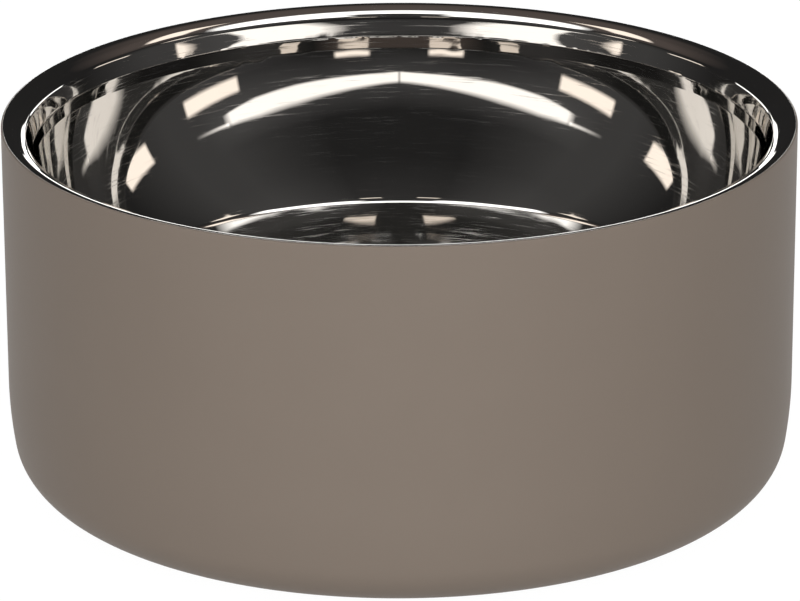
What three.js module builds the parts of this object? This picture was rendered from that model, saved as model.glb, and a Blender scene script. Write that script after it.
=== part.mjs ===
// Double-wall dog bowl: a polished steel liner welded by its rim into a powder-coated outer shell.
// A base plate closes the shell from below and carries the foot ring, the getter and the vacuum seal.
// Millimetres, +Z up, origin at the centre of the surface that the bowl stands on.

import * as THREE from 'three';
import { mergeVertices } from 'three/addons/utils/BufferGeometryUtils.js';

// Overall sizes
const RIM_DIAMETER = 210;
const HEIGHT = 100;
const FOOT_PROUD = 1.4;

// Sheet gauges
const LINER_SHEET = 0.8;
const SHELL_SHEET = 0.8;
const BASE_SHEET = 0.8;

// Rim and mouth of the liner
const RIM_FLAT = 1.0;
const LAND_WIDTH = 3.0;
const LAND_SLOPE = 21;
const LIP_RADIUS = 5.0;
const THROAT_SLOPE = 78;
const UPPER_CREASE_DEPTH = 7.5;
const COLLAR_SLOPE = 88;
const COLLAR_HEIGHT = 3.5;
const COLLAR_BEND = 12;

// Body of the liner
const WALL_TAPER = 26.2;
const WALL_BOW = 17.2;
const FLOOR_DISH_RADIUS = 206;
const FLOOR_CORNER = 4.5;
const UNDER_FLOOR_SPACE = 31.0;

// Outer shell
const BELLY_RADIUS = 109;
const BELLY_ANGLE = 8.7;
const BOTTOM_RADIUS = 13.5;
const BASE_OPENING = 146;
const OPENING_BEND = 2.0;
const OPENING_FLANGE = 4.8;

// Base plate
const WELD_CLEARANCE = 0.15;
const BASE_RECESS = 0.4;
const BASE_BEND = 1.6;
const RING_DIAMETER = 126;
const RING_WIDTH = 9.6;
const RING_CLEARANCE = 0.2;
const CHANNEL_DEPTH = 2.2;
const CHANNEL_DRAFT = 1.0;
const RING_EDGE = 1.0;

// Vacuum seal
const COVER_DIAMETER = 28;
const COVER_SHEET = 0.6;
const COVER_CLEARANCE = 0.2;
const COVER_SUNK = 0.2;
const COVER_EDGE = 0.2;
const PORT_DIAMETER = 2.4;
const DIMPLE_DIAMETER = 10;
const DIMPLE_DEPTH = 1.5;
const BEAD_CLEARANCE = 0.15;
const BEAD_SUNK = 0.3;

// Getter
const GETTER_DIAMETER = 10;
const GETTER_HEIGHT = 3.0;
const GETTER_EDGE = 0.4;
const GETTER_OFFSET = 32;
const CLIP_SHEET = 0.4;
const CLIP_WIDTH = 6;
const CLIP_FOOT = 4;
const CLIP_CLEARANCE = 0.2;

// Smoothness of the turned and curved forms
const TURN_STEPS = 48;
const SMALL_TURN_STEPS = 24;
const WALL_STEPS = 8;
const FLOOR_STEPS = 5;
const CORNER_STEPS = 4;
const LIP_STEPS = 5;
const BELLY_STEPS = 3;
const BOTTOM_STEPS = 6;
const BEND_STEPS = 3;

// How near to a rounded corner a run keeps its own points, in reaches of the rounding
const CORNER_CLEARANCE = 1.2;
// Corners closer than this are one corner
const MERGE_DISTANCE = 1e-5;

// Places that several pieces share
const rimRadius = RIM_DIAMETER / 2;
const shellTop = HEIGHT - LINER_SHEET;
const openingRadius = BASE_OPENING / 2;
const openingTop = FOOT_PROUD + OPENING_FLANGE;
const baseUnderside = FOOT_PROUD + BASE_RECESS;
const baseTop = baseUnderside + BASE_SHEET;
const ringMid = RING_DIAMETER / 2;
const channelTop = baseUnderside + CHANNEL_DEPTH;
const channelHalf = RING_WIDTH / 2 + RING_CLEARANCE;
const coverRadius = COVER_DIAMETER / 2;
const coverSeat = baseUnderside + COVER_SHEET + COVER_SUNK;
const recessRadius = coverRadius + COVER_CLEARANCE;
const dimpleRadius = DIMPLE_DIAMETER / 2;
const portRadius = PORT_DIAMETER / 2;
const floorCentre = baseTop + UNDER_FLOOR_SPACE + LINER_SHEET;

// Finishes
const polishedSteel = new THREE.MeshStandardMaterial({ color: 0xcfcdca, roughness: 0.08, metalness: 1 });
const taupeCoat = new THREE.MeshStandardMaterial({ color: 0x827a6e, roughness: 0.5, metalness: 0 });
const satinSteel = new THREE.MeshStandardMaterial({ color: 0xb5b3af, roughness: 0.35, metalness: 1 });
const silicone = new THREE.MeshStandardMaterial({ color: 0x3a3733, roughness: 0.8, metalness: 0 });
const getterAlloy = new THREE.MeshStandardMaterial({ color: 0x55575a, roughness: 0.7, metalness: 0.6 });
const solderGlass = new THREE.MeshStandardMaterial({ color: 0x5d6b66, roughness: 0.2, metalness: 0 });

const point = (radius, height) => new THREE.Vector2(radius, height);
const radians = THREE.MathUtils.degToRad;
const quarterTurn = Math.PI / 2;

// A step of unit length, at an angle from straight outwards towards straight up.
const heading = (angle) => point(Math.cos(angle), Math.sin(angle));

// Points of a circular arc, both ends included.
function arc(centre, radius, fromAngle, toAngle, steps) {
  const points = [];
  for (let i = 0; i <= steps; i++) {
    const angle = fromAngle + (toAngle - fromAngle) * i / steps;
    points.push(centre.clone().addScaledVector(heading(angle), radius));
  }
  return points;
}

// Rounds the corner between two runs of points that both end at the corner point.
// Each run gives up the rounding's tangent length, and a curve joins them that has its control point
// at the corner.
function blend(runIn, runOut, radius, steps) {
  const corner = runIn.at(-1);
  const before = corner.clone().sub(runIn.at(-2)).normalize();
  const after = runOut[1].clone().sub(corner).normalize();
  const turn = Math.acos(THREE.MathUtils.clamp(before.dot(after), -1, 1));
  const reach = radius * Math.tan(turn / 2);
  const start = corner.clone().addScaledVector(before, -reach);
  const end = corner.clone().addScaledVector(after, reach);
  const curve = new THREE.QuadraticBezierCurve(start, corner, end);
  const kept = (run) => run.filter((p) => p.distanceTo(corner) > reach * CORNER_CLEARANCE);
  return [...kept(runIn), ...curve.getPoints(steps), ...kept(runOut)];
}

// An arc between two points that bulges to the right of the way it runs, given half the angle that it
// turns through.
function bowedRun(from, to, halfTurn, steps) {
  const chord = to.clone().sub(from);
  const radius = chord.length() / 2 / Math.sin(halfTurn);
  const toCentre = point(-chord.y, chord.x).normalize().multiplyScalar(radius * Math.cos(halfTurn));
  const centre = from.clone().lerp(to, 1 / 2).add(toCentre);
  const fromAngle = Math.atan2(from.y - centre.y, from.x - centre.x);
  return arc(centre, radius, fromAngle, fromAngle + 2 * halfTurn, steps);
}

// The other face of a sheet of even thickness: each point moves to the right of the way the face runs.
function offset(face, thickness) {
  const normals = face.slice(1).map((p, i) => point(p.y - face[i].y, face[i].x - p.x).normalize());
  return face.map((p, i) => {
    const before = normals[Math.max(i - 1, 0)];
    const after = normals[Math.min(i, normals.length - 1)];
    const mitre = before.clone().add(after).normalize();
    return p.clone().addScaledVector(mitre, thickness / mitre.dot(after));
  });
}

// Turns a closed outline about the Z axis. The outline runs anticlockwise with the axis on its left.
function turned(outline, steps) {
  const geometry = new THREE.LatheGeometry(outline, steps);
  geometry.rotateX(quarterTurn);
  return welded(geometry);
}

// One closed skin: shared corners are merged, and the flat triangles left on the axis are dropped.
function welded(geometry) {
  geometry.deleteAttribute('normal');
  geometry.deleteAttribute('uv');
  const merged = mergeVertices(geometry, MERGE_DISTANCE);
  const index = merged.index.array;
  const kept = [];
  for (let i = 0; i < index.length; i += 3) {
    const [a, b, c] = [index[i], index[i + 1], index[i + 2]];
    if (a !== b && b !== c && c !== a) {
      kept.push(a, b, c);
    }
  }
  merged.setIndex(kept);
  merged.computeVertexNormals();
  return merged;
}

function piece(name, geometry, material) {
  const mesh = new THREE.Mesh(geometry, material);
  mesh.name = name;
  return mesh;
}

// Liner: the polished face from the floor's centre up the wall, over the lip and out to the rim's edge.
function linerFace() {
  const slope = radians(LAND_SLOPE);
  const throat = radians(THROAT_SLOPE);
  const landOuter = point(rimRadius - RIM_FLAT, HEIGHT);
  const landInner = landOuter.clone().addScaledVector(heading(slope), -LAND_WIDTH);
  const lipCentre = landInner.clone().addScaledVector(heading(slope - quarterTurn), LIP_RADIUS);
  const lip = arc(lipCentre, LIP_RADIUS, quarterTurn + throat, quarterTurn + slope, LIP_STEPS);

  const upperCrease = point(0, HEIGHT - UPPER_CREASE_DEPTH);
  upperCrease.x = lip[0].x - (lip[0].y - upperCrease.y) / Math.tan(throat);
  const collarLean = COLLAR_HEIGHT / Math.tan(radians(COLLAR_SLOPE));
  const lowerCrease = upperCrease.clone().sub(point(collarLean, COLLAR_HEIGHT));
  const collar = [lowerCrease, upperCrease];

  const dishCentre = point(0, floorCentre + FLOOR_DISH_RADIUS);
  const corner = wallFoot(lowerCrease, dishCentre);
  const dishAngle = Math.asin(corner.x / FLOOR_DISH_RADIUS);
  const floor = arc(dishCentre, FLOOR_DISH_RADIUS, -quarterTurn, dishAngle - quarterTurn, FLOOR_STEPS);
  const wall = bowedRun(corner, lowerCrease, radians(WALL_BOW), WALL_STEPS);
  const bowlSide = blend(blend(floor, wall, FLOOR_CORNER, CORNER_STEPS), collar, COLLAR_BEND, BEND_STEPS);
  return [...bowlSide, ...lip, landOuter, point(rimRadius, HEIGHT)];
}

// The point where the wall's chord, leaning in from the lower crease, meets the dished floor.
function wallFoot(lowerCrease, dishCentre) {
  const down = heading(-quarterTurn - radians(WALL_TAPER));
  const fromCentre = lowerCrease.clone().sub(dishCentre);
  const along = fromCentre.dot(down);
  const reach = Math.sqrt(along ** 2 - fromCentre.lengthSq() + FLOOR_DISH_RADIUS ** 2) - along;
  return lowerCrease.clone().addScaledVector(down, reach);
}

function liner() {
  const face = linerFace();
  const back = offset(face, LINER_SHEET);
  back[0] = point(0, floorCentre - LINER_SHEET);
  back[back.length - 1] = point(rimRadius, shellTop);
  const outline = [...back, ...face.toReversed()];
  return piece('liner', turned(outline, TURN_STEPS), polishedSteel);
}

// Shell: the coated face from the opening's flange, out under the bottom radius and up the wall.
function shellFace() {
  const belly = radians(BELLY_ANGLE);
  const bellyDraw = BELLY_RADIUS * (1 - Math.cos(belly));
  const cornerCentre = point(
    rimRadius - bellyDraw - BOTTOM_RADIUS * Math.cos(belly),
    FOOT_PROUD + BOTTOM_RADIUS,
  );
  const bottomCorner = arc(cornerCentre, BOTTOM_RADIUS, -quarterTurn, -belly, BOTTOM_STEPS);
  const bellyCentre = point(rimRadius - BELLY_RADIUS, 0);
  bellyCentre.y = bottomCorner.at(-1).y + BELLY_RADIUS * Math.sin(belly);
  const bellyRun = arc(bellyCentre, BELLY_RADIUS, -belly, 0, BELLY_STEPS);

  const bendCentre = point(openingRadius + OPENING_BEND, FOOT_PROUD + OPENING_BEND);
  const bend = arc(bendCentre, OPENING_BEND, 2 * quarterTurn, 3 * quarterTurn, BEND_STEPS);
  const flangeTop = point(openingRadius, openingTop);
  const rim = point(rimRadius, shellTop);
  return [flangeTop, ...bend, ...bottomCorner, ...bellyRun.slice(1), rim];
}

function outerShell() {
  const face = shellFace();
  const inner = offset(face, -SHELL_SHEET);
  const outline = [...face, ...inner.toReversed(), face[0].clone()];
  return piece('outer_shell', turned(outline, TURN_STEPS), taupeCoat);
}

// Base plate: the underside from the evacuation port, over the cover's recess and the ring's channel,
// to the rim.
function basePlateFace() {
  const rim = openingRadius - WELD_CLEARANCE;
  const channelInner = ringMid - channelHalf;
  const channelOuter = ringMid + channelHalf;
  const bendCentre = point(rim - BASE_BEND, baseUnderside + BASE_BEND);
  return [
    point(portRadius, coverSeat + DIMPLE_DEPTH),
    point(dimpleRadius, coverSeat),
    point(recessRadius, coverSeat),
    point(recessRadius, baseUnderside),
    point(channelInner - CHANNEL_DRAFT, baseUnderside),
    point(channelInner, channelTop),
    point(channelOuter, channelTop),
    point(channelOuter + CHANNEL_DRAFT, baseUnderside),
    ...arc(bendCentre, BASE_BEND, -quarterTurn, 0, BEND_STEPS),
    point(rim, openingTop),
  ];
}

function basePlate() {
  const face = basePlateFace();
  const inner = offset(face, -BASE_SHEET);
  inner[0].x = portRadius;
  const outline = [...face, ...inner.toReversed(), face[0].clone()];
  return piece('base_plate', turned(outline, TURN_STEPS), satinSteel);
}

// Foot ring: a flat tread with rounded edges that stands below the shell.
function nonSlipRing() {
  const inner = ringMid - RING_WIDTH / 2;
  const outer = ringMid + RING_WIDTH / 2;
  const outline = [
    ...arc(point(inner + RING_EDGE, RING_EDGE), RING_EDGE, 2 * quarterTurn, 3 * quarterTurn, BEND_STEPS),
    ...arc(point(outer - RING_EDGE, RING_EDGE), RING_EDGE, 3 * quarterTurn, 4 * quarterTurn, BEND_STEPS),
    point(outer, channelTop),
    point(inner, channelTop),
  ];
  outline.push(outline[0].clone());
  return piece('non_slip_ring', turned(outline, TURN_STEPS), silicone);
}

// Seal bead: glass that has run into the dimple and up to the mouth of the port.
function sealBead() {
  const underside = coverSeat + BEAD_SUNK;
  const dimpleSlope = (dimpleRadius - portRadius) / DIMPLE_DEPTH;
  const brim = dimpleRadius - BEAD_SUNK * dimpleSlope - BEAD_CLEARANCE * Math.hypot(1, dimpleSlope);
  const crown = portRadius - BEAD_CLEARANCE;
  const crownHeight = underside + (brim - crown) / dimpleSlope;
  const outline = [
    point(0, underside),
    point(brim, underside),
    point(crown, crownHeight),
    point(0, crownHeight),
  ];
  return piece('seal_bead', turned(outline, SMALL_TURN_STEPS), solderGlass);
}

// Seal cover: a thin disc with an eased lower edge, bonded to the recess over the port.
function sealCover() {
  const underside = coverSeat - COVER_SHEET;
  const outline = [
    point(0, underside),
    point(coverRadius - COVER_EDGE, underside),
    point(coverRadius, underside + COVER_EDGE),
    point(coverRadius, coverSeat),
    point(0, coverSeat),
  ];
  return piece('seal_cover', turned(outline, SMALL_TURN_STEPS), satinSteel);
}

// Getter pill: a pressed tablet with eased edges, standing on the base plate.
function getterPill() {
  const radius = GETTER_DIAMETER / 2;
  const outline = [
    point(0, 0),
    point(radius - GETTER_EDGE, 0),
    point(radius, GETTER_EDGE),
    point(radius, GETTER_HEIGHT - GETTER_EDGE),
    point(radius - GETTER_EDGE, GETTER_HEIGHT),
    point(0, GETTER_HEIGHT),
  ];
  return piece('getter_pill', turned(outline, SMALL_TURN_STEPS), getterAlloy);
}

// Getter clip: a strip bent into a bridge over the pill, with a foot at each end on the base plate.
function getterClip() {
  const inside = GETTER_DIAMETER / 2 + CLIP_CLEARANCE;
  const outside = inside + CLIP_SHEET;
  const toe = outside + CLIP_FOOT;
  const ceiling = GETTER_HEIGHT + CLIP_CLEARANCE;
  const outline = new THREE.Shape([
    point(-toe, 0),
    point(-inside, 0),
    point(-inside, ceiling),
    point(inside, ceiling),
    point(inside, 0),
    point(toe, 0),
    point(toe, CLIP_SHEET),
    point(outside, CLIP_SHEET),
    point(outside, ceiling + CLIP_SHEET),
    point(-outside, ceiling + CLIP_SHEET),
    point(-outside, CLIP_SHEET),
    point(-toe, CLIP_SHEET),
  ]);
  const geometry = new THREE.ExtrudeGeometry(outline, { depth: CLIP_WIDTH, bevelEnabled: false });
  geometry.translate(0, 0, -CLIP_WIDTH / 2);
  geometry.rotateX(quarterTurn);
  return piece('getter_clip', welded(geometry), satinSteel);
}

const bowl = new THREE.Group();
bowl.add(liner(), outerShell(), basePlate(), nonSlipRing(), sealBead(), sealCover());

const getter = new THREE.Group();
getter.position.set(GETTER_OFFSET, 0, baseTop);
getter.add(getterPill(), getterClip());
bowl.add(getter);

export default bowl;
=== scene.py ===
# %% [markdown]
# # A double-wall dog bowl
# Two drawn steel skins, one inside the other, are welded together at the rim: a polished liner that holds
# the food and a powder-coated shell that the hand touches. A pressed plate closes the shell from below.
# Nearly every surface is turned about one upright axis, so this lesson draws each piece as a section and
# carries it round that axis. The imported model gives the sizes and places.

import bpy
import numpy as np
from mathutils import Matrix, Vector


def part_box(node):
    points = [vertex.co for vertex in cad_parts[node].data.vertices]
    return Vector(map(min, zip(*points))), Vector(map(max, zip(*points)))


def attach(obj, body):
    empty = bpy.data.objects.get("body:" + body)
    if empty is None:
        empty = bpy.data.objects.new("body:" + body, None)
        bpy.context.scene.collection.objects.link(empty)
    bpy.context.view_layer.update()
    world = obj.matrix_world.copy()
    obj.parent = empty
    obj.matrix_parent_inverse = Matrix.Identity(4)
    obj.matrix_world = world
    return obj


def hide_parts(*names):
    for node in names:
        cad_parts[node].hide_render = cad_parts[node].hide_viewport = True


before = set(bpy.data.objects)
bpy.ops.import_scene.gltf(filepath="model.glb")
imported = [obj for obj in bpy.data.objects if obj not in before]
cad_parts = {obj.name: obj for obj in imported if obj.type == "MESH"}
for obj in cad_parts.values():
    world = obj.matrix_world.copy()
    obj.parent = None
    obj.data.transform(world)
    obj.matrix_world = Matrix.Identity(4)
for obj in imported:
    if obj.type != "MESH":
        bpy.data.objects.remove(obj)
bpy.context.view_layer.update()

print("nodes:", ", ".join(sorted(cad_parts)))

# %% [markdown]
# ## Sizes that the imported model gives
# The rim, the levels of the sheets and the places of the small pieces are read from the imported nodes, so
# the fine surfaces land where the plain ones were. Lengths are in metres and angles in degrees.

# %% Read the sizes


def reach(node):
    """A node's reach along +X from the bowl's axis, its lowest level and its highest level."""
    low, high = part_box(node)
    return high.x, low.z, high.z


rim_radius, liner_underside, rim_level = reach("liner")
_, shell_underside, shell_top = reach("outer_shell")
plate_radius, plate_underside, plate_top = reach("base_plate")
ring_radius, ring_underside, ring_top = reach("non_slip_ring")
cover_radius, cover_underside, cover_seat = reach("seal_cover")
bead_radius, bead_underside, bead_top = reach("seal_bead")
liner_sheet = rim_level - shell_top
floor_level = liner_underside + liner_sheet
print(f"rim {2000 * rim_radius:.1f} mm across, {1000 * rim_level:.1f} mm high")
print(f"liner sheet {1000 * liner_sheet:.2f} mm, its floor {1000 * floor_level:.1f} mm up")

# %% [markdown]
# ## The camera
# The rim shows as a flat ellipse and the foot as a rounder one. The two together fix the height and the
# distance of the camera: a long lens, about eighteen degrees above the rim.

# %% Place the camera
CAMERA_DISTANCE = 1.260
CAMERA_HEIGHT = 0.5038
CAMERA_DOWN = 19.89
CAMERA_ROLL = -0.21
LENS_MILLIMETRES = 225.3
SENSOR_MILLIMETRES = 36.0

lens = bpy.data.cameras.new("camera")
lens.lens = LENS_MILLIMETRES
lens.sensor_fit = "HORIZONTAL"
lens.sensor_width = SENSOR_MILLIMETRES
camera = bpy.data.objects.new("camera", lens)
bpy.context.scene.collection.objects.link(camera)
bpy.context.scene.camera = camera
tilted = Matrix.Rotation(np.radians(90.0 - CAMERA_DOWN), 4, "X")
rolled = Matrix.Rotation(np.radians(CAMERA_ROLL), 4, "Z")
placed = Matrix.Translation((0.0, -CAMERA_DISTANCE, CAMERA_HEIGHT))
camera.matrix_world = placed @ tilted @ rolled
print(f"camera {CAMERA_DISTANCE} m in front, {CAMERA_HEIGHT} m up, looking {CAMERA_DOWN} degrees down")

# %% [markdown]
# ## Drawing a section
# A spinner or press operator works from a section: half of the piece, cut through its axis. A section here
# is an array of points (distance from the axis, height). Straight runs, arcs and soft corners are enough
# for every piece of this bowl.

# %% Tools for sections
SAME_POINT = 1e-7
QUARTER = 90.0


def heading(angle):
    """A step of unit length, at an angle from straight outwards towards straight up."""
    return np.array([np.cos(np.radians(angle)), np.sin(np.radians(angle))])


def arc(centre, radius, start, end, steps):
    """Points of a circular arc: the centre plus the radius times the cosine and sine of each angle."""
    angle = np.radians(np.linspace(start, end, steps + 1))
    return np.asarray(centre) + radius * np.column_stack([np.cos(angle), np.sin(angle)])


def straight(start, end, steps):
    """Evenly spaced points of a straight run, both ends included."""
    return np.linspace(start, end, steps + 1)


def joined(*runs):
    """Runs of points end to end, where a point that repeats the one before it is dropped."""
    points = np.concatenate([np.atleast_2d(run) for run in runs])
    step = np.linalg.norm(np.diff(points, axis=0), axis=1)
    return points[np.append(True, step > SAME_POINT)]


def bridge(start, leaving, end, arriving, steps):
    """A smooth curve from one run to the next, close to a circular arc.

    It is a cubic curve. Its handles lie along the two directions, each four thirds of the arc's radius
    times the tangent of a quarter of the turn.
    """
    turn = np.arccos(np.clip(np.dot(leaving, arriving), -1.0, 1.0))
    radius = np.linalg.norm(end - start) / (2.0 * np.sin(turn / 2.0))
    handle = 4.0 / 3.0 * radius * np.tan(turn / 4.0)
    t = np.linspace(0.0, 1.0, steps + 1)[:, None]
    first = start + handle * leaving
    second = end - handle * arriving
    return (1 - t) ** 3 * start + 3 * (1 - t) ** 2 * t * first + 3 * (1 - t) * t ** 2 * second + t ** 3 * end


def eased(corners, radii, steps=5):
    """A line of straight runs with rounded corners.

    A rounding touches each run at its radius times the tangent of half the turn from the corner.
    The first and the last corner are ends and stay as they are.
    """
    corners = np.asarray(corners, float)
    runs = [corners[:1]]
    for before, corner, after, radius in zip(corners[:-2], corners[1:-1], corners[2:], radii):
        arriving = (corner - before) / np.linalg.norm(corner - before)
        leaving = (after - corner) / np.linalg.norm(after - corner)
        touch = radius * np.tan(np.arccos(np.clip(np.dot(arriving, leaving), -1.0, 1.0)) / 2.0)
        runs.append(bridge(corner - touch * arriving, arriving, corner + touch * leaving, leaving, steps))
    runs.append(corners[-1:])
    return joined(*runs)


def mitred(corners, sheet):
    """The other face of a bent sheet: each corner moves to the left of the way the line runs.

    The shift lies along the mean of the two runs' normals and is longer by one over the cosine of half
    the turn.
    """
    corners = np.asarray(corners, float)
    way = np.diff(corners, axis=0)
    normal = np.column_stack([-way[:, 1], way[:, 0]]) / np.linalg.norm(way, axis=1)[:, None]
    before = np.concatenate([normal[:1], normal])
    after = np.concatenate([normal, normal[-1:]])
    mitre = before + after
    mitre = mitre / np.linalg.norm(mitre, axis=1)[:, None]
    return corners + sheet * mitre / np.sum(mitre * after, axis=1)[:, None]


sample = eased([(0.0, 0.0), (1.0, 0.0), (1.0, 1.0)], [0.25])
print("a corner eased in", len(sample), "points, ending at", sample[-1])

# %% [markdown]
# ## Turning a section into a piece
# A turned piece is its section carried round the axis: every point keeps its height and its distance from
# the axis. A surface that a hand has polished is never quite true, so a piece may also stand proud of its
# section by a few hundredths of a millimetre that vary from place to place. Each point remembers how far
# along the section it lies, which the finishes use to run polishing lines round the bowl.

# %% Tools for pieces


def distance_along(section):
    """Length of the section from its start to each of its points."""
    return np.append(0.0, np.cumsum(np.linalg.norm(np.diff(section, axis=0), axis=1)))


def outward(section):
    """Unit normals to the right of the way the section runs, from the mean slope at each point."""
    way = np.gradient(section, distance_along(section), axis=0)
    normal = np.column_stack([way[:, 1], -way[:, 0]])
    return normal / np.linalg.norm(normal, axis=1)[:, None]


def round_the_axis(turns):
    """Angles of the copies of a section, in radians, anticlockwise from +X."""
    return np.linspace(0.0, 2.0 * np.pi, turns, endpoint=False)


def turned(section, turns, proud=None, middle=(0.0, 0.0)):
    """Carries a section round an upright axis and returns points, faces and distances along.

    A point is (radius times cosine of the angle, radius times sine of the angle, height). The section
    runs with the solid on its left, so faces look outwards. Points on the axis are shared by all copies.
    """
    angle = round_the_axis(turns)[:, None]
    offset = np.zeros((turns, 1)) if proud is None else proud
    normal = outward(section)
    radius = section[:, 0] + offset * normal[:, 0]
    height = section[:, 1] + offset * normal[:, 1] + 0.0 * angle
    sideways = middle[0] + radius * np.cos(angle)
    onwards = middle[1] + radius * np.sin(angle)
    points = np.stack([sideways, onwards, height], axis=-1)
    count = len(section)
    number = np.arange(turns * count).reshape(turns, count)
    on_axis = section[:, 0] < SAME_POINT
    number[:, on_axis] = number[0, on_axis]
    here, there = number, np.roll(number, -1, axis=0)
    quads = np.stack([here[:, :-1], there[:, :-1], there[:, 1:], here[:, 1:]], axis=-1).reshape(-1, 4)
    closing = np.tile(np.stack([on_axis[:-1], on_axis[1:]], axis=-1), (turns, 1))
    plain = quads[~closing.any(axis=1)]
    from_axis = quads[closing[:, 0]][:, [0, 2, 3]]
    to_axis = quads[closing[:, 1]][:, [0, 1, 2]]
    along = np.tile(distance_along(section), turns)
    used = np.unique(number)
    place = np.zeros(turns * count, int)
    place[used] = np.arange(len(used))
    faces = place[plain].tolist() + place[from_axis].tolist() + place[to_axis].tolist()
    return points.reshape(-1, 3)[used], faces, along[used]


def piece(node, shape):
    """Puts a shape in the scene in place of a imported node, riding on the bowl."""
    points, faces, along = shape
    mesh = bpy.data.meshes.new(node + "_surface")
    mesh.from_pydata(points.tolist(), [], faces)
    mesh.polygons.foreach_set("use_smooth", np.ones(len(faces), bool))
    mesh.attributes.new("along", "FLOAT", "POINT").data.foreach_set("value", along.astype(np.float32))
    made = bpy.data.objects.new(node + "_surface", mesh)
    bpy.context.scene.collection.objects.link(made)
    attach(made, "root")
    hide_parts(node)
    triangles = sum(len(face) - 2 for face in faces)
    print(f"{node}: {len(points)} points, {triangles} triangles")
    return made


def waves(angle, along, count, round_limit, along_limit, seed):
    """An uneven surface as a mean of cosine waves with seeded directions and phases.

    Each wave runs a whole number of times round the axis, up to the first limit, so the ends meet. Along
    the section it has up to the second limit of cycles per metre.
    """
    chance = np.random.default_rng(seed)
    times_round = chance.integers(-round_limit, round_limit + 1, count)
    per_metre = chance.uniform(-along_limit, along_limit, count)
    phase = chance.uniform(0.0, 2.0 * np.pi, count)
    turn = angle[:, None, None] * times_round + 2.0 * np.pi * along[None, :, None] * per_metre + phase
    return np.cos(turn).mean(axis=-1) * np.sqrt(2.0 * count)


sample = waves(round_the_axis(4), np.zeros(1), count=3, round_limit=2, along_limit=0.0, seed=1)
print("waves over one turn:", sample.round(2).ravel())

# %% [markdown]
# ## The liner
# The liner is drawn from one disc of sheet, then polished on a lathe. From the edge inwards its section
# has a short flat for the weld, a land that slopes inwards, a rounded lip, a conical throat, a short upright
# collar between two tool lines, a bowed wall, a tight corner and a dished floor. The lip and the wall are
# each two arcs that meet without a bend, because a former with one radius wouldn't give their reflections.

# %% Draw the rim and the collar
COAT_LAP = 0.00045
RIM_FLAT = 0.0022
RIM_SLOPE = 8.0
LAND_WIDTH = 0.0017
LAND_SLOPE = 21.0
CROWN_RADIUS = 0.0090
CROWN_END = 38.0
LIP_RADIUS = 0.0020
THROAT_SLOPE = 72.6
UPPER_CREASE_DEPTH = 0.0075
COLLAR_SLOPE = 86.0
COLLAR_HEIGHT = 0.0035
COLLAR_BEND = 0.0030
EDGE_EASE = 0.00012
TOOL_LINE_HALF = 0.0005

flat_edge = rim_radius - COAT_LAP
flat_drop = (RIM_FLAT - COAT_LAP) * np.tan(np.radians(RIM_SLOPE))
land_outer = np.array([rim_radius - RIM_FLAT, rim_level - flat_drop])
land_inner = land_outer - LAND_WIDTH * heading(LAND_SLOPE)
crown_centre = land_inner + CROWN_RADIUS * heading(LAND_SLOPE - QUARTER)
crown = arc(crown_centre, CROWN_RADIUS, QUARTER + LAND_SLOPE, QUARTER + CROWN_END, steps=8)
lip_centre = crown[-1] + LIP_RADIUS * heading(CROWN_END - QUARTER)
lip = arc(lip_centre, LIP_RADIUS, QUARTER + CROWN_END, QUARTER + THROAT_SLOPE, steps=12)
down_throat = -heading(THROAT_SLOPE)
throat_drop = lip[-1, 1] - (rim_level - UPPER_CREASE_DEPTH)
upper_crease = lip[-1] + down_throat * throat_drop / -down_throat[1]
down_collar = -heading(COLLAR_SLOPE)
lower_crease = upper_crease + down_collar * COLLAR_HEIGHT / -down_collar[1]
print(f"lip ends {1000 * lip[-1, 0]:.2f} mm out, collar {1000 * lower_crease[0]:.2f} mm out")

# %% Draw the wall and the floor
WALL_HEAD = 10.5
WALL_MIDDLE = 21.0
UPPER_WALL_RADIUS = 0.0934
FOOT_RADIUS = 0.0779
DISH_RADIUS = 0.204
DISH_BREAK = 0.062
OUTER_DISH_RADIUS = 0.240
FLOOR_CORNER = 0.0045

bend_turn = WALL_HEAD - (QUARTER - COLLAR_SLOPE)
bend_reach = COLLAR_BEND * np.tan(np.radians(bend_turn / 2.0))
wall_start = -WALL_HEAD - np.degrees(bend_reach / UPPER_WALL_RADIUS)
upper_wall_centre = lower_crease - UPPER_WALL_RADIUS * heading(-WALL_HEAD)
upper_wall = arc(upper_wall_centre, UPPER_WALL_RADIUS, wall_start, -WALL_MIDDLE, steps=16)

dish_centre = np.array([0.0, floor_level + DISH_RADIUS])
break_slope = np.degrees(np.arcsin(DISH_BREAK / DISH_RADIUS))
outer_dish_centre = dish_centre + (DISH_RADIUS - OUTER_DISH_RADIUS) * heading(break_slope - QUARTER)
dish_edge = np.degrees(np.arcsin((FOOT_RADIUS - outer_dish_centre[0]) / OUTER_DISH_RADIUS))
foot = outer_dish_centre + OUTER_DISH_RADIUS * heading(dish_edge - QUARTER)
chord = upper_wall[-1] - foot
chord_lean = QUARTER - np.degrees(np.arctan2(chord[1], chord[0]))
wall_foot = 2.0 * chord_lean - WALL_MIDDLE
half_turn = np.radians((wall_foot - WALL_MIDDLE) / 2.0)
lower_wall_radius = np.linalg.norm(chord) / 2.0 / np.sin(half_turn)
lower_wall_centre = upper_wall[-1] - lower_wall_radius * heading(-WALL_MIDDLE)
corner_turn = QUARTER - wall_foot - dish_edge
corner_reach = FLOOR_CORNER * np.tan(np.radians(corner_turn / 2.0))
wall_end = np.degrees(corner_reach / lower_wall_radius) - wall_foot
dish_start = dish_edge - np.degrees(corner_reach / OUTER_DISH_RADIUS)
lower_wall = arc(lower_wall_centre, lower_wall_radius, -WALL_MIDDLE, wall_end, steps=20)
outer_dish = arc(outer_dish_centre, OUTER_DISH_RADIUS, dish_start - QUARTER, break_slope - QUARTER, steps=8)
inner_dish = arc(dish_centre, DISH_RADIUS, break_slope - QUARTER, -QUARTER, steps=18)
dish = joined(outer_dish, inner_dish)
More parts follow.
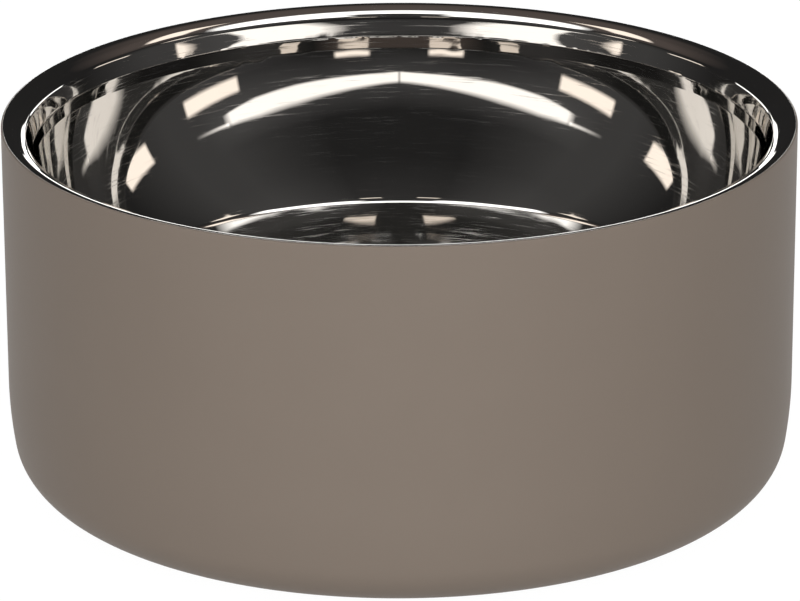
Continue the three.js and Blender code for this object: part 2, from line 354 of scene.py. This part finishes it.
corner = bridge(lower_wall[-1], heading(wall_end - QUARTER), dish[0], heading(dish_start + 2.0 * QUARTER),
                steps=12)
print(f"wall leans {WALL_HEAD} degrees at its head and {wall_foot:.1f} at its foot")

# %% Join the liner's section
VACUUM_FACE_STRIDE = 4

rim_edge = eased([(land_outer[0], shell_top), (flat_edge, shell_top), (flat_edge, rim_level), land_outer],
                 [EDGE_EASE, EDGE_EASE], steps=3)
throat = straight(lip[-1], upper_crease - TOOL_LINE_HALF * down_throat, steps=3)
tool_line = joined(straight(throat[-1], upper_crease, steps=4),
                   straight(upper_crease, upper_crease + TOOL_LINE_HALF * down_collar, steps=4))
collar = straight(tool_line[-1], lower_crease - bend_reach * down_collar, steps=3)
collar_bend = bridge(collar[-1], down_collar, upper_wall[0], heading(wall_start - QUARTER), steps=6)
polished_face = joined(straight(land_outer, land_inner, steps=2), crown, lip, throat, tool_line, collar,
                       collar_bend, upper_wall, lower_wall, corner, dish)
vacuum_face = (polished_face - liner_sheet * outward(polished_face))[::-VACUUM_FACE_STRIDE]
vacuum_face[0] = (0.0, liner_underside)
liner_section = joined(vacuum_face[vacuum_face[:, 0] < land_outer[0] - SAME_POINT], rim_edge,
                       polished_face)
liner_section[-1, 0] = 0.0
print(f"corner turns {corner_turn:.1f} degrees, section of {len(liner_section)} points")

# %% Turn the liner
LINER_TURNS = 600
TOOL_LINE_PROUD = 0.00002
TOOL_LINE_MEAN = 0.7
TOOL_LINE_SWING = 0.6
CREASE_UNEVEN = 0.000004
CREASE_SPREAD = 0.0012
CORNER_UNEVEN = 0.000006
CORNER_SPREAD = 0.0060
POLISH_UNEVEN = 0.0000012

along_liner = distance_along(liner_section)
on_face = along_liner >= along_liner[-1] - distance_along(polished_face)[-1]


def near(place, width):
    """Smooth hump over the polished face: one at a place on the section, nothing beyond the width."""
    away = np.linalg.norm(liner_section - place, axis=1) / width
    return on_face * np.where(away < 1.0, np.cos(away * np.pi / 2.0) ** 2, 0.0)


liner_angle = round_the_axis(LINER_TURNS)
level_ring = np.zeros(1)
short_waves = waves(liner_angle, level_ring, count=40, round_limit=220, along_limit=0.0, seed=11)
crease_waves = waves(liner_angle, level_ring, count=40, round_limit=110, along_limit=0.0, seed=12)
corner_waves = waves(liner_angle, level_ring, count=24, round_limit=44, along_limit=0.0, seed=13)
broad_waves = waves(liner_angle, along_liner, count=24, round_limit=26, along_limit=45.0, seed=14)
beaded = TOOL_LINE_MEAN + TOOL_LINE_SWING * short_waves
liner_proud = TOOL_LINE_PROUD * near(upper_crease, TOOL_LINE_HALF) * beaded
liner_proud = liner_proud + CREASE_UNEVEN * near(lower_crease, CREASE_SPREAD) * crease_waves
liner_proud = liner_proud + CORNER_UNEVEN * near(foot, CORNER_SPREAD) * corner_waves
liner_proud = liner_proud + POLISH_UNEVEN * on_face * broad_waves
liner = piece("liner", turned(liner_section, LINER_TURNS, liner_proud))

# %% [markdown]
# ## The coated shell
# The shell is drawn as a plain cup with a straight wall that draws in a little low down, and its bottom is
# opened and flanged for the base plate. Powder coat flows a little when it is baked, so it ends at the rim
# in a small rounded edge that laps the weld.

# %% Draw and turn the shell
SHELL_SHEET = 0.0008
BELLY_RADIUS = 0.109
BELLY_ANGLE = 8.7
BOTTOM_RADIUS = 0.0135
OPENING_RADIUS = 0.0730
OPENING_BEND = 0.0020
COAT_EDGE = 0.0004
COAT_BELOW_RIM = 0.00015
COAT_FOOT_EASE = 0.00003
BARE_FACE_STRIDE = 2
SHELL_TURNS = 420

across_belly = np.cos(np.radians(BELLY_ANGLE))
belly_end = rim_radius - BELLY_RADIUS * (1.0 - across_belly)
bottom_centre = np.array([belly_end - BOTTOM_RADIUS * across_belly, shell_underside + BOTTOM_RADIUS])
bottom = arc(bottom_centre, BOTTOM_RADIUS, -QUARTER, -BELLY_ANGLE, steps=22)
belly_centre = np.array([rim_radius - BELLY_RADIUS,
                         bottom[-1, 1] + BELLY_RADIUS * np.sin(np.radians(BELLY_ANGLE))])
belly = arc(belly_centre, BELLY_RADIUS, -BELLY_ANGLE, 0.0, steps=14)
bend_centre = (OPENING_RADIUS + OPENING_BEND, shell_underside + OPENING_BEND)
bend = arc(bend_centre, OPENING_BEND, 2.0 * QUARTER, 3.0 * QUARTER, steps=10)
flange_top = np.array([OPENING_RADIUS, plate_top])
coat_top = rim_level - COAT_BELOW_RIM
coat_end = eased([belly[-1], (rim_radius, coat_top), (rim_radius - COAT_LAP, coat_top),
                  (rim_radius - COAT_LAP, shell_top)], [COAT_EDGE, COAT_FOOT_EASE], steps=6)
upright = straight(belly[-1], coat_end[1], steps=24)
under = straight(bend[-1], bottom[0], steps=6)
coated_face = joined(straight(flange_top, bend[0], steps=4), bend, under, bottom, belly, upright)
bare_face = mitred(coated_face, SHELL_SHEET)[::-BARE_FACE_STRIDE]
bare_face = bare_face[bare_face[:, 1] < shell_top - SHELL_SHEET]
shell_section = joined(coated_face, coat_end[1:], (rim_radius - SHELL_SHEET, shell_top), bare_face,
                       flange_top)
shell = piece("outer_shell", turned(shell_section, SHELL_TURNS))

# %% [markdown]
# ## The base plate and what it carries
# The underside isn't seen from the front. The plate is a pressed disc with a channel for the foot ring and
# a dimpled port, through which the air between the skins is drawn out. A glass bead melts and closes the
# port, and a thin cover is bonded over it. Sheet can't be bent to a sharp corner, so each bend has a small
# radius.

# %% Press the base plate
PLATE_SHEET = 0.0008
PLATE_TURNS = 320
CHANNEL_CLEARANCE = 0.0002
CHANNEL_DRAFT = 0.0010
RECESS_CLEARANCE = 0.0002
PORT_RADIUS = 0.0012
DIMPLE_RADIUS = 0.0050
DIMPLE_DEPTH = 0.0015
PLATE_BEND = 0.0016
DIMPLE_BEND = 0.0010
RECESS_TIGHT = 0.0002
RECESS_WIDE = 0.0004
CHANNEL_TIGHT = 0.0003
CHANNEL_WIDE = 0.0008
RING_INNER = 0.0582

channel_inner = RING_INNER - CHANNEL_CLEARANCE
channel_outer = ring_radius + CHANNEL_CLEARANCE
recess_radius = cover_radius + RECESS_CLEARANCE
plate_corners = [
    (PORT_RADIUS, cover_seat + DIMPLE_DEPTH),
    (DIMPLE_RADIUS, cover_seat),
    (recess_radius, cover_seat),
    (recess_radius, plate_underside),
    (channel_inner - CHANNEL_DRAFT, plate_underside),
    (channel_inner, ring_top),
    (channel_outer, ring_top),
    (channel_outer + CHANNEL_DRAFT, plate_underside),
    (plate_radius, plate_underside),
    (plate_radius, plate_top),
]
under_bends = [DIMPLE_BEND, RECESS_TIGHT, RECESS_WIDE, CHANNEL_WIDE, CHANNEL_TIGHT, CHANNEL_TIGHT,
               CHANNEL_WIDE, PLATE_BEND]
upper_bends = [DIMPLE_BEND, RECESS_WIDE, RECESS_TIGHT, CHANNEL_TIGHT, CHANNEL_WIDE, CHANNEL_WIDE,
               CHANNEL_TIGHT, PLATE_BEND - PLATE_SHEET]
plate_below = eased(plate_corners, under_bends)
upper_corners = mitred(plate_corners, PLATE_SHEET)
upper_corners[0, 0] = PORT_RADIUS
plate_above = eased(upper_corners, upper_bends)[::-1]
plate_section = joined(plate_below, plate_above, plate_below[:1])
base_plate = piece("base_plate", turned(plate_section, PLATE_TURNS))

# %% Mould the foot ring
RING_EDGE = 0.0010
RING_SEAT_EDGE = 0.0002
RING_TURNS = 256

tread = (0.5 * (RING_INNER + ring_radius), ring_underside)
ring_section = eased([tread, (ring_radius, ring_underside), (ring_radius, ring_top), (RING_INNER, ring_top),
                      (RING_INNER, ring_underside), tread],
                     [RING_EDGE, RING_SEAT_EDGE, RING_SEAT_EDGE, RING_EDGE])
foot_ring = piece("non_slip_ring", turned(ring_section, RING_TURNS))

# %% Close the port
COVER_EDGE = 0.0002
BEAD_CROWN = 0.00105
BEAD_EDGE = 0.0002
SMALL_TURNS = 128

cover_section = eased([(0.0, cover_underside), (cover_radius, cover_underside), (cover_radius, cover_seat),
                       (0.0, cover_seat)], [COVER_EDGE, COVER_EDGE / 2.0])
seal_cover = piece("seal_cover", turned(cover_section, SMALL_TURNS))
bead_section = eased([(0.0, bead_underside), (bead_radius, bead_underside), (BEAD_CROWN, bead_top),
                      (0.0, bead_top)], [BEAD_EDGE, BEAD_EDGE])
seal_bead = piece("seal_bead", turned(bead_section, SMALL_TURNS))

# %% [markdown]
# ## The getter
# A sealed vacuum slowly spoils as gas leaves the steel. A pressed tablet of reactive metal, the getter,
# takes that gas up. It sits on the plate's inner face under a strip bent into a small bridge.

# %% Make the tablet and its clip
TABLET_EDGE = 0.0004
CLIP_SHEET = 0.0004
CLIP_CLEARANCE = 0.0002
CLIP_INNER_BEND = 0.0003

tablet_low, tablet_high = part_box("getter_pill")
tablet_middle = (tablet_low + tablet_high) / 2.0
tablet_radius = tablet_high.x - tablet_middle.x
tablet_section = eased([(0.0, tablet_low.z), (tablet_radius, tablet_low.z), (tablet_radius, tablet_high.z),
                        (0.0, tablet_high.z)], [TABLET_EDGE, TABLET_EDGE])
tablet = piece("getter_pill",
               turned(tablet_section, SMALL_TURNS, middle=(tablet_middle.x, tablet_middle.y)))

clip_low, clip_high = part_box("getter_clip")
toe = clip_high.x - tablet_middle.x
inside = tablet_radius + CLIP_CLEARANCE
ceiling = clip_high.z - CLIP_SHEET
seat = clip_low.z
clip_below = [(-toe, seat), (-inside, seat), (-inside, ceiling), (inside, ceiling), (inside, seat),
              (toe, seat)]
clip_bends = [CLIP_INNER_BEND] * (len(clip_below) - 2)
under_clip = eased(clip_below, clip_bends, steps=4)


def bent_strip(below, sheet, middle, near_edge, far_edge):
    """A bent strip: its section with both faces, carried straight across from edge to edge.

    The upper face stands off the lower by the sheet, along the normals. The ends of the strip and its
    two long edges are closed.
    """
    rim = np.concatenate([below, (below - sheet * outward(below))[::-1]])
    count = len(rim)
    edges = [np.column_stack([middle + rim[:, 0], np.full(count, side), rim[:, 1]])
             for side in (near_edge, far_edge)]
    here = np.arange(count)
    after = np.roll(here, -1)
    sides = np.column_stack([here, here + count, after + count, after])
    lower, upper = here[:count // 2], here[count // 2:][::-1]
    cap = np.column_stack([lower[:-1], lower[1:], upper[1:], upper[:-1]])
    faces = np.concatenate([sides, cap, cap[:, ::-1] + count])
    along = np.tile(distance_along(rim), 2)
    return np.concatenate(edges), faces.tolist(), along


clip = piece("getter_clip",
             bent_strip(under_clip, CLIP_SHEET, tablet_middle.x, clip_low.y, clip_high.y))

# %% [markdown]
# ## Writing finishes as sums
# A finish is a graph of small nodes. One class keeps that graph readable: a wire stands for one output
# socket, and adding or multiplying wires adds the nodes that do it.

# %% The wire class


class Wire:
    """One output socket of a node tree. Arithmetic with numbers or other wires adds Math nodes."""

    def __init__(self, tree, socket=None):
        self.tree = tree
        self.socket = socket

    def node(self, kind, settings=None, sockets=None, output=0):
        """Adds a node: its settings first, then a value or a wire for each named socket."""
        made = self.tree.nodes.new(kind)
        for name, setting in (settings or {}).items():
            setattr(made, name, setting)
        for name, given in (sockets or {}).items():
            if isinstance(given, Wire):
                self.tree.links.new(given.socket, made.inputs[name])
            else:
                made.inputs[name].default_value = given
        return Wire(self.tree, made.outputs[output] if made.outputs else None)

    def math(self, operation, *terms):
        """A Math node on these terms."""
        return self.node("ShaderNodeMath", {"operation": operation}, dict(enumerate(terms)))

    def vector(self, operation, *terms):
        """A Vector Math node on these terms, for places and colours."""
        return self.node("ShaderNodeVectorMath", {"operation": operation}, dict(enumerate(terms)))

    def axis(self, index):
        """One coordinate of a place or direction."""
        return self.node("ShaderNodeSeparateXYZ", sockets={0: self}, output=index)

    def __add__(self, other):
        return self.math("ADD", self, other)

    def __radd__(self, other):
        return self.math("ADD", other, self)

    def __sub__(self, other):
        return self.math("SUBTRACT", self, other)

    def __rsub__(self, other):
        return self.math("SUBTRACT", other, self)

    def __mul__(self, other):
        return self.math("MULTIPLY", self, other)

    def __rmul__(self, other):
        return self.math("MULTIPLY", other, self)

    def __truediv__(self, other):
        return self.math("DIVIDE", self, other)

    def __rtruediv__(self, other):
        return self.math("DIVIDE", other, self)

    def __pow__(self, other):
        return self.math("POWER", self, other)

    def __neg__(self):
        return self.math("MULTIPLY", self, -1.0)

    def __abs__(self):
        return self.math("ABSOLUTE", self)


def within(wire, low=0.0, high=1.0):
    """A wire held between two limits."""
    return wire.math("MINIMUM", wire.math("MAXIMUM", wire, low), high)


def new_finish(name):
    """An empty material and a bare wire to start its graph."""
    material = bpy.data.materials.new(name)
    material.use_nodes = True
    material.node_tree.nodes.clear()
    return material, Wire(material.node_tree)


def close_finish(graph, **sockets):
    """Ends a graph in a Principled surface. Socket names are written with underscores for spaces."""
    named = {name.replace("_", " "): given for name, given in sockets.items()}
    surface = graph.node("ShaderNodeBsdfPrincipled", {}, named)
    graph.node("ShaderNodeOutputMaterial", {}, {"Surface": surface})


def place(graph):
    """The place on the piece, in metres."""
    return graph.node("ShaderNodeTexCoord", output="Object")


def speckle(graph, where, per_metre, detail=2.0):
    """Even noise from 0 to 1, with this many grains to the metre."""
    settings = {"Vector": where, "Scale": per_metre, "Detail": detail, "Roughness": 0.6}
    return graph.node("ShaderNodeTexNoise", {}, settings, "Fac")


def lathe_lines(graph, spokes, per_metre, detail=3.0):
    """Noise drawn out round the axis, as a wheel leaves it on a turning piece.

    The noise is read at the direction from the axis times a few spokes, raised by the distance along the
    section times the lines to the metre. The direction comes round to itself, so there is no seam.
    """
    flat = graph.vector("MULTIPLY", place(graph), (1.0, 1.0, 0.0))
    direction = graph.vector("NORMALIZE", flat)
    along = graph.node("ShaderNodeAttribute", {"attribute_name": "along"}, output="Fac")
    raised = graph.node("ShaderNodeCombineXYZ", {}, {"Z": along * per_metre})
    where = graph.vector("MULTIPLY_ADD", direction, (spokes, spokes, spokes), raised)
    return speckle(graph, where, 1.0, detail)


def bumped(graph, height, metres):
    """A normal for a surface that rises by so many metres where the height is one."""
    return graph.node("ShaderNodeBump", {}, {"Height": height, "Distance": metres, "Strength": 1.0})


def blend(graph, factor, first, second):
    """A colour between two others."""
    sockets = {0: factor, 6: (*first, 1.0), 7: (*second, 1.0)}
    return graph.node("ShaderNodeMix", {"data_type": "RGBA"}, sockets, 2)


print("shader tools ready")

# %% [markdown]
# ## Polished steel
# A mop on a turning liner leaves a mirror with fine lines round the axis. The lines spread a reflection
# across themselves and leave it sharp along them, so highlights smear up and down the wall. A thin haze of
# wear varies the roughness from place to place.

# %% Finish the liner
STEEL_WORN = (0.60, 0.585, 0.565)
STEEL_BRIGHT = (0.64, 0.63, 0.61)
MIRROR_ROUGHNESS = 0.012
SCRATCH_ROUGHNESS = 0.15
HAZE_ROUGHNESS = 0.015
SCRATCH_START = 0.56
SCRATCH_GAIN = 6.0
FINE_LINE_SHARE = 0.6
LINE_DEPTH = 4e-7
ROUND_THE_AXIS = 0.25


def polished_steel():
    """Mirror steel with lathe lines in its roughness and its normal."""
    material, graph = new_finish("polished_steel")
    fine = lathe_lines(graph, spokes=6.0, per_metre=2600.0)
    coarse = lathe_lines(graph, spokes=5.0, per_metre=420.0)
    haze = speckle(graph, place(graph), per_metre=45.0)
    scratched = within((fine - SCRATCH_START) * SCRATCH_GAIN)
    rough = MIRROR_ROUGHNESS + SCRATCH_ROUGHNESS * scratched + HAZE_ROUGHNESS * haze
    rough = within(rough, low=0.01, high=0.24)
    normal = bumped(graph, fine * FINE_LINE_SHARE + coarse, metres=LINE_DEPTH)
    tint = blend(graph, haze, STEEL_WORN, STEEL_BRIGHT)
    close_finish(graph, Base_Color=tint, Metallic=1.0, Roughness=rough, Anisotropic=0.3,
                 Anisotropic_Rotation=ROUND_THE_AXIS, Normal=normal)
    return material


liner.data.materials.append(polished_steel())
print("liner finished in", liner.data.materials[0].name)

# %% [markdown]
# ## Powder coat
# Powder is sprayed on dry and melts in an oven to a tough satin skin. Up close it is very slightly uneven,
# like orange peel, which blurs what it reflects.

# %% Finish the shell
TAUPE_DARK = (0.228, 0.185, 0.152)
TAUPE_PALE = (0.248, 0.203, 0.167)
DRIFT_SHARE = 0.7
PEEL_SHARE = 0.3
COAT_ROUGHNESS = 0.46
PEEL_ROUGHNESS = 0.10
COAT_GLOSS = 0.14
PEEL_DEPTH = 6e-6


def taupe_coat():
    """Satin coat with a fine peel and a faint unevenness of colour."""
    material, graph = new_finish("taupe_coat")
    peel = speckle(graph, place(graph), per_metre=1500.0)
    drift = speckle(graph, place(graph), per_metre=30.0)
    tint = blend(graph, within(drift * DRIFT_SHARE + peel * PEEL_SHARE), TAUPE_DARK, TAUPE_PALE)
    rough = COAT_ROUGHNESS + PEEL_ROUGHNESS * peel
    normal = bumped(graph, peel, metres=PEEL_DEPTH)
    close_finish(graph, Base_Color=tint, Roughness=rough, Specular_IOR_Level=COAT_GLOSS, Normal=normal)
    return material


shell.data.materials.append(taupe_coat())
print("shell finished in", shell.data.materials[0].name)

# %% [markdown]
# ## The plain finishes underneath
# Pressed sheet keeps the satin grain of the mill. Silicone is matt and picks up a little dust. Solder
# glass has run and set with a gloss. The getter is a pressed powder, so it is rough all over.

# %% Finish the pressed sheet
SHEET_DARK = (0.43, 0.42, 0.40)
SHEET_PALE = (0.50, 0.49, 0.47)
SHEET_ROUGHNESS = 0.26
GRAIN_ROUGHNESS = 0.16
PATCH_ROUGHNESS = 0.06
GRAIN_DEPTH = 2e-6


def satin_steel():
    """Bare sheet with soft lines round the axis."""
    material, graph = new_finish("satin_steel")
    grain = lathe_lines(graph, spokes=14.0, per_metre=2600.0)
    patches = speckle(graph, place(graph), per_metre=120.0)
    tint = blend(graph, patches, SHEET_DARK, SHEET_PALE)
    rough = within(SHEET_ROUGHNESS + GRAIN_ROUGHNESS * grain + PATCH_ROUGHNESS * patches)
    close_finish(graph, Base_Color=tint, Metallic=1.0, Roughness=rough, Anisotropic=0.4,
                 Anisotropic_Rotation=ROUND_THE_AXIS, Normal=bumped(graph, grain, metres=GRAIN_DEPTH))
    return material


bare_sheet = satin_steel()
base_plate.data.materials.append(bare_sheet)
seal_cover.data.materials.append(bare_sheet)
clip.data.materials.append(bare_sheet)
print("plate, cover and clip finished in", bare_sheet.name)

# %% Finish the small pieces
RUBBER_CLEAN = (0.036, 0.033, 0.029)
RUBBER_DUSTY = (0.060, 0.055, 0.049)
DUST_GAIN = 2.0
DUST_START = 0.7
RUBBER_ROUGHNESS = 0.68
MOULD_ROUGHNESS = 0.2
MOULD_DEPTH = 1.2e-5
GLASS_DARK = (0.08, 0.12, 0.10)
GLASS_PALE = (0.15, 0.19, 0.17)
GLASS_ROUGHNESS = 0.08
SWIRL_ROUGHNESS = 0.12
SWIRL_DEPTH = 8e-6
POWDER_DARK = (0.06, 0.063, 0.067)
POWDER_PALE = (0.13, 0.135, 0.14)
POWDER_ROUGHNESS = 0.6
POWDER_GRAIN_ROUGHNESS = 0.25
POWDER_METAL = 0.7
POWDER_DEPTH = 3e-5


def silicone():
    """Matt rubber with a fine mould texture and a little dust."""
    material, graph = new_finish("silicone")
    mould = speckle(graph, place(graph), per_metre=2200.0)
    dust = speckle(graph, place(graph), per_metre=300.0, detail=4.0)
    tint = blend(graph, within(dust * DUST_GAIN - DUST_START), RUBBER_CLEAN, RUBBER_DUSTY)
    rough = RUBBER_ROUGHNESS + MOULD_ROUGHNESS * mould
    close_finish(graph, Base_Color=tint, Roughness=rough, Normal=bumped(graph, mould, metres=MOULD_DEPTH))
    return material


def solder_glass():
    """Dark fused glass, glossy and opaque, with paler swirls."""
    material, graph = new_finish("solder_glass")
    swirl = speckle(graph, place(graph), per_metre=500.0, detail=3.0)
    tint = blend(graph, swirl, GLASS_DARK, GLASS_PALE)
    rough = GLASS_ROUGHNESS + SWIRL_ROUGHNESS * swirl
    close_finish(graph, Base_Color=tint, Roughness=rough, Normal=bumped(graph, swirl, metres=SWIRL_DEPTH))
    return material


def getter_alloy():
    """Pressed and sintered metal powder: dark, rough grains."""
    material, graph = new_finish("getter_alloy")
    grains = speckle(graph, place(graph), per_metre=3500.0, detail=3.0)
    tint = blend(graph, grains, POWDER_DARK, POWDER_PALE)
    rough = POWDER_ROUGHNESS + POWDER_GRAIN_ROUGHNESS * grains
    close_finish(graph, Base_Color=tint, Metallic=POWDER_METAL, Roughness=rough,
                 Normal=bumped(graph, grains, metres=POWDER_DEPTH))
    return material


foot_ring.data.materials.append(silicone())
seal_bead.data.materials.append(solder_glass())
tablet.data.materials.append(getter_alloy())
print("small pieces finished:", foot_ring.data.materials[0].name, tablet.data.materials[0].name)

# %% [markdown]
# ## The table
# The bowl stands on a white table that runs out of the picture on every side. The camera sees it lifted
# to white, while the soft shadow round the foot stays.

# %% Lay the table
TABLE_RADIUS = 3.0
TABLE_LIFT = 0.90
TABLE_GLOW = 1.09
TABLE_WHITE = (0.62, 0.62, 0.62, 1.0)


def seen_directly_or_mirrored(graph):
    """One for camera rays and for rays from mirrors and clear things, nothing for soft light."""
    camera_ray = graph.node("ShaderNodeLightPath", output="Is Camera Ray")
    mirror_ray = graph.node("ShaderNodeLightPath", output="Is Glossy Ray")
    clear_ray = graph.node("ShaderNodeLightPath", output="Is Transmission Ray")
    return within(camera_ray + mirror_ray + clear_ray)


table_rim = arc((0.0, 0.0), TABLE_RADIUS, 0.0, 4.0 * QUARTER, steps=96)[:-1]
table_mesh = bpy.data.meshes.new("table")
table_mesh.from_pydata(np.column_stack([table_rim, np.zeros(len(table_rim))]).tolist(), [],
                       [list(range(len(table_rim)))])
table = bpy.data.objects.new("table", table_mesh)
bpy.context.scene.collection.objects.link(table)
table_white, graph = new_finish("table_white")
lit = graph.node("ShaderNodeBsdfDiffuse", {}, {"Color": TABLE_WHITE})
glow = graph.node("ShaderNodeEmission", {}, {"Strength": TABLE_GLOW})
lift = TABLE_LIFT * seen_directly_or_mirrored(graph)
shown = graph.node("ShaderNodeMixShader", {}, {0: lift, 1: lit, 2: glow})
graph.node("ShaderNodeOutputMaterial", {}, {"Surface": shown})
table.data.materials.append(table_white)
print("table", 2.0 * TABLE_RADIUS, "m across")

# %% [markdown]
# ## The studio
# A mirror shows the room, so the polished liner needs a room to show: a dark studio with a long strip lamp
# and a few panels, each drawn by its direction from the bowl. Mirror rays see that room. The coat is lit by
# a wide soft dome instead, brightest in front and fainter behind, so it darkens gently towards its sides.
# Sides are degrees away from the camera to the left or right, and levels are degrees above the table.

# %% Tools for the room


def ramp(value, start, width):
    """Rises evenly from nothing to one across a width that is centred on the start."""
    return within((value - start) / width + 0.5)


def fall(value, start, width):
    """Falls evenly from one to nothing across a width that is centred on the start."""
    return 1.0 - ramp(value, start, width)


def panel(side, level, sides, levels, lean=0.0, soft=1.2):
    """A panel in the room: one between its two sides and two levels, with soft edges.

    A lean lowers its levels by so many degrees for each degree beyond its first side.
    """
    straightened = level + (side - sides[0]) * lean
    across = ramp(side, sides[0], soft) * fall(side, sides[1], soft)
    upright = ramp(straightened, levels[0], soft) * fall(straightened, levels[1], soft)
    return across * upright


world = bpy.data.worlds.new("studio")
bpy.context.scene.world = world
world.use_nodes = True
world.node_tree.nodes.clear()
sky = Wire(world.node_tree)
towards = sky.node("ShaderNodeTexCoord", output="Generated")
side = abs(sky.math("DEGREES", sky.math("ARCTAN2", towards.axis(0), -towards.axis(1))))
level = sky.math("DEGREES", sky.math("ARCSINE", towards.axis(2)))
to_front = sky.math("DEGREES", sky.math("ARCTAN2", -towards.axis(1), towards.axis(2)))
to_side = sky.math("DEGREES", sky.math("ARCTAN2", abs(towards.axis(0)), towards.axis(2)))
print("directions ready in", world.name)

# %% [markdown]
# ## Lamps that the steel shows
# The strip lamp climbs a little and swells towards its two ends, with a thin joint in the middle and a faint
# tail beyond each end. A white ceiling panel lights the lip, and a gap in it keeps the middle of the floor
# dark. Low white panels behind the bowl brighten the rim's near edge. Cream panels stand for windows.

# %% Hang the lamps
STRIP_LEVEL = 13.7
STRIP_CLIMB = 0.075
STRIP_HALF_WIDTH = 1.7
STRIP_SWELL = 1.2
STRIP_JOINT = 0.4
HORIZON_SHARE = 0.4

above_strip = level - STRIP_LEVEL - STRIP_CLIMB * side
swelling = ramp(side, start=20.0, width=30.0) - ramp(side, start=56.0, width=14.0)
off_strip = above_strip / (STRIP_HALF_WIDTH + STRIP_SWELL * swelling)
joint = STRIP_JOINT + (1.0 - STRIP_JOINT) * ramp(side, start=0.4, width=0.6)
strip_across = joint * fall(side, start=61.0, width=3.0)
strip_lamp = strip_across * ramp(off_strip, start=-1.0, width=0.3) * fall(off_strip, start=1.0, width=0.7)
tail = panel(side, level, sides=(61.0, 86.0), levels=(19.2, 20.2), soft=0.8)
tail = tail * fall(side, start=68.0, width=14.0)

ceiling_edge = 4.0 * ramp(to_side, start=17.0, width=8.0) - 1.5
ceiling_panel = ramp(level, start=62.0, width=3.0) * ramp(-to_front - ceiling_edge, start=0.0, width=2.0)
ceiling_panel = ceiling_panel * fall(-to_front, start=22.0, width=5.0)
ceiling_gap = fall(to_side, start=7.0, width=2.5) * ramp(to_front, start=-7.0, width=2.0)
low_behind = panel(side, level, sides=(150.0, 177.0), levels=(14.0, 22.2), lean=0.8)
low_behind = low_behind * fall(level, start=9.0, width=1.5)
low_aside = panel(side, level, sides=(128.0, 155.0), levels=(1.0, 8.0))
low_middle = panel(side, level, sides=(165.0, 182.0), levels=(-3.0, 4.8))
horizon = HORIZON_SHARE * fall(level, start=1.0, width=1.5)
white_panels = [ceiling_panel * (1.0 - ceiling_gap), low_behind, low_aside, horizon, low_middle]
strip_panels = [strip_lamp, tail]
print(len(white_panels), "white panels and a strip lamp in", len(strip_panels), "parts")

# %% Set the windows
front_window = panel(side, level, sides=(54.0, 75.0), levels=(6.6, 11.0), lean=-0.08)
side_window = panel(side, level, sides=(95.0, 111.0), levels=(11.5, 18.0))
high_back_window = panel(side, level, sides=(134.0, 157.0), levels=(50.5, 57.0))
high_side_window = panel(side, level, sides=(90.0, 104.0), levels=(46.5, 52.0))
low_front_window = panel(side, level, sides=(9.5, 20.5), levels=(4.3, 6.2))
high_front_window = panel(side, level, sides=(12.0, 27.0), levels=(65.2, 69.0))
cream_panels = [front_window, side_window, high_back_window, high_side_window, low_front_window,
                high_front_window]
print(len(cream_panels), "cream windows")

# %% Light the bowl
WHITE = (2.6, 2.58, 2.55)
STRIP = (1.72, 1.64, 1.55)
CREAM = (1.62, 1.43, 1.25)
WARM_ROOM = (0.085, 0.065, 0.057)
DARK_ROOM = (1.0, 0.98, 0.97)
ROOM_LEAST = 0.022
ROOM_SIDES = 0.045
ROOM_ABOVE = 0.02
STRIP_HALO = 0.05
DOME = 0.06
DOME_FRONT = 3.00
DOME_BACK = 1.00
DOME_POWER = 2.0

halo = STRIP_HALO * fall(abs(above_strip), start=6.0, width=10.0) * fall(side, start=64.0, width=16.0)
room_sides = ROOM_SIDES * ramp(side, start=46.0, width=40.0) * fall(side, start=100.0, width=30.0)
dim = ROOM_LEAST + room_sides + ROOM_ABOVE * ramp(level, start=55.0, width=20.0) + halo
warm = ramp(side, start=125.0, width=20.0) * ramp(level, start=40.0, width=12.0)
warm = warm * fall(level, start=66.0, width=8.0)
room = sky.vector("MULTIPLY", dim, DARK_ROOM)
room = sky.vector("MULTIPLY_ADD", warm, WARM_ROOM, room)
for colour, panels in ((WHITE, white_panels), (STRIP, strip_panels), (CREAM, cream_panels)):
    for mask in panels:
        room = sky.vector("MULTIPLY_ADD", mask, colour, room)
front_light = DOME_FRONT * within(-towards.axis(1)) ** DOME_POWER
back_light = DOME_BACK * within(towards.axis(1)) ** DOME_POWER
dome = DOME + front_light + back_light
mirror_ray = sky.node("ShaderNodeLightPath", output="Is Glossy Ray")
clear_ray = sky.node("ShaderNodeLightPath", output="Is Transmission Ray")
mirrored = within(mirror_ray + clear_ray)
seen = sky.node("ShaderNodeMix", {"data_type": "RGBA"}, {0: mirrored, 6: dome, 7: room}, 2)
background = sky.node("ShaderNodeBackground", {}, {"Color": seen, "Strength": 1.0})
sky.node("ShaderNodeOutputWorld", {}, {"Surface": background})
bpy.context.scene.view_settings.view_transform = "Standard"
print("dome", DOME, "with", DOME_FRONT, "more in front and", DOME_BACK, "more behind")
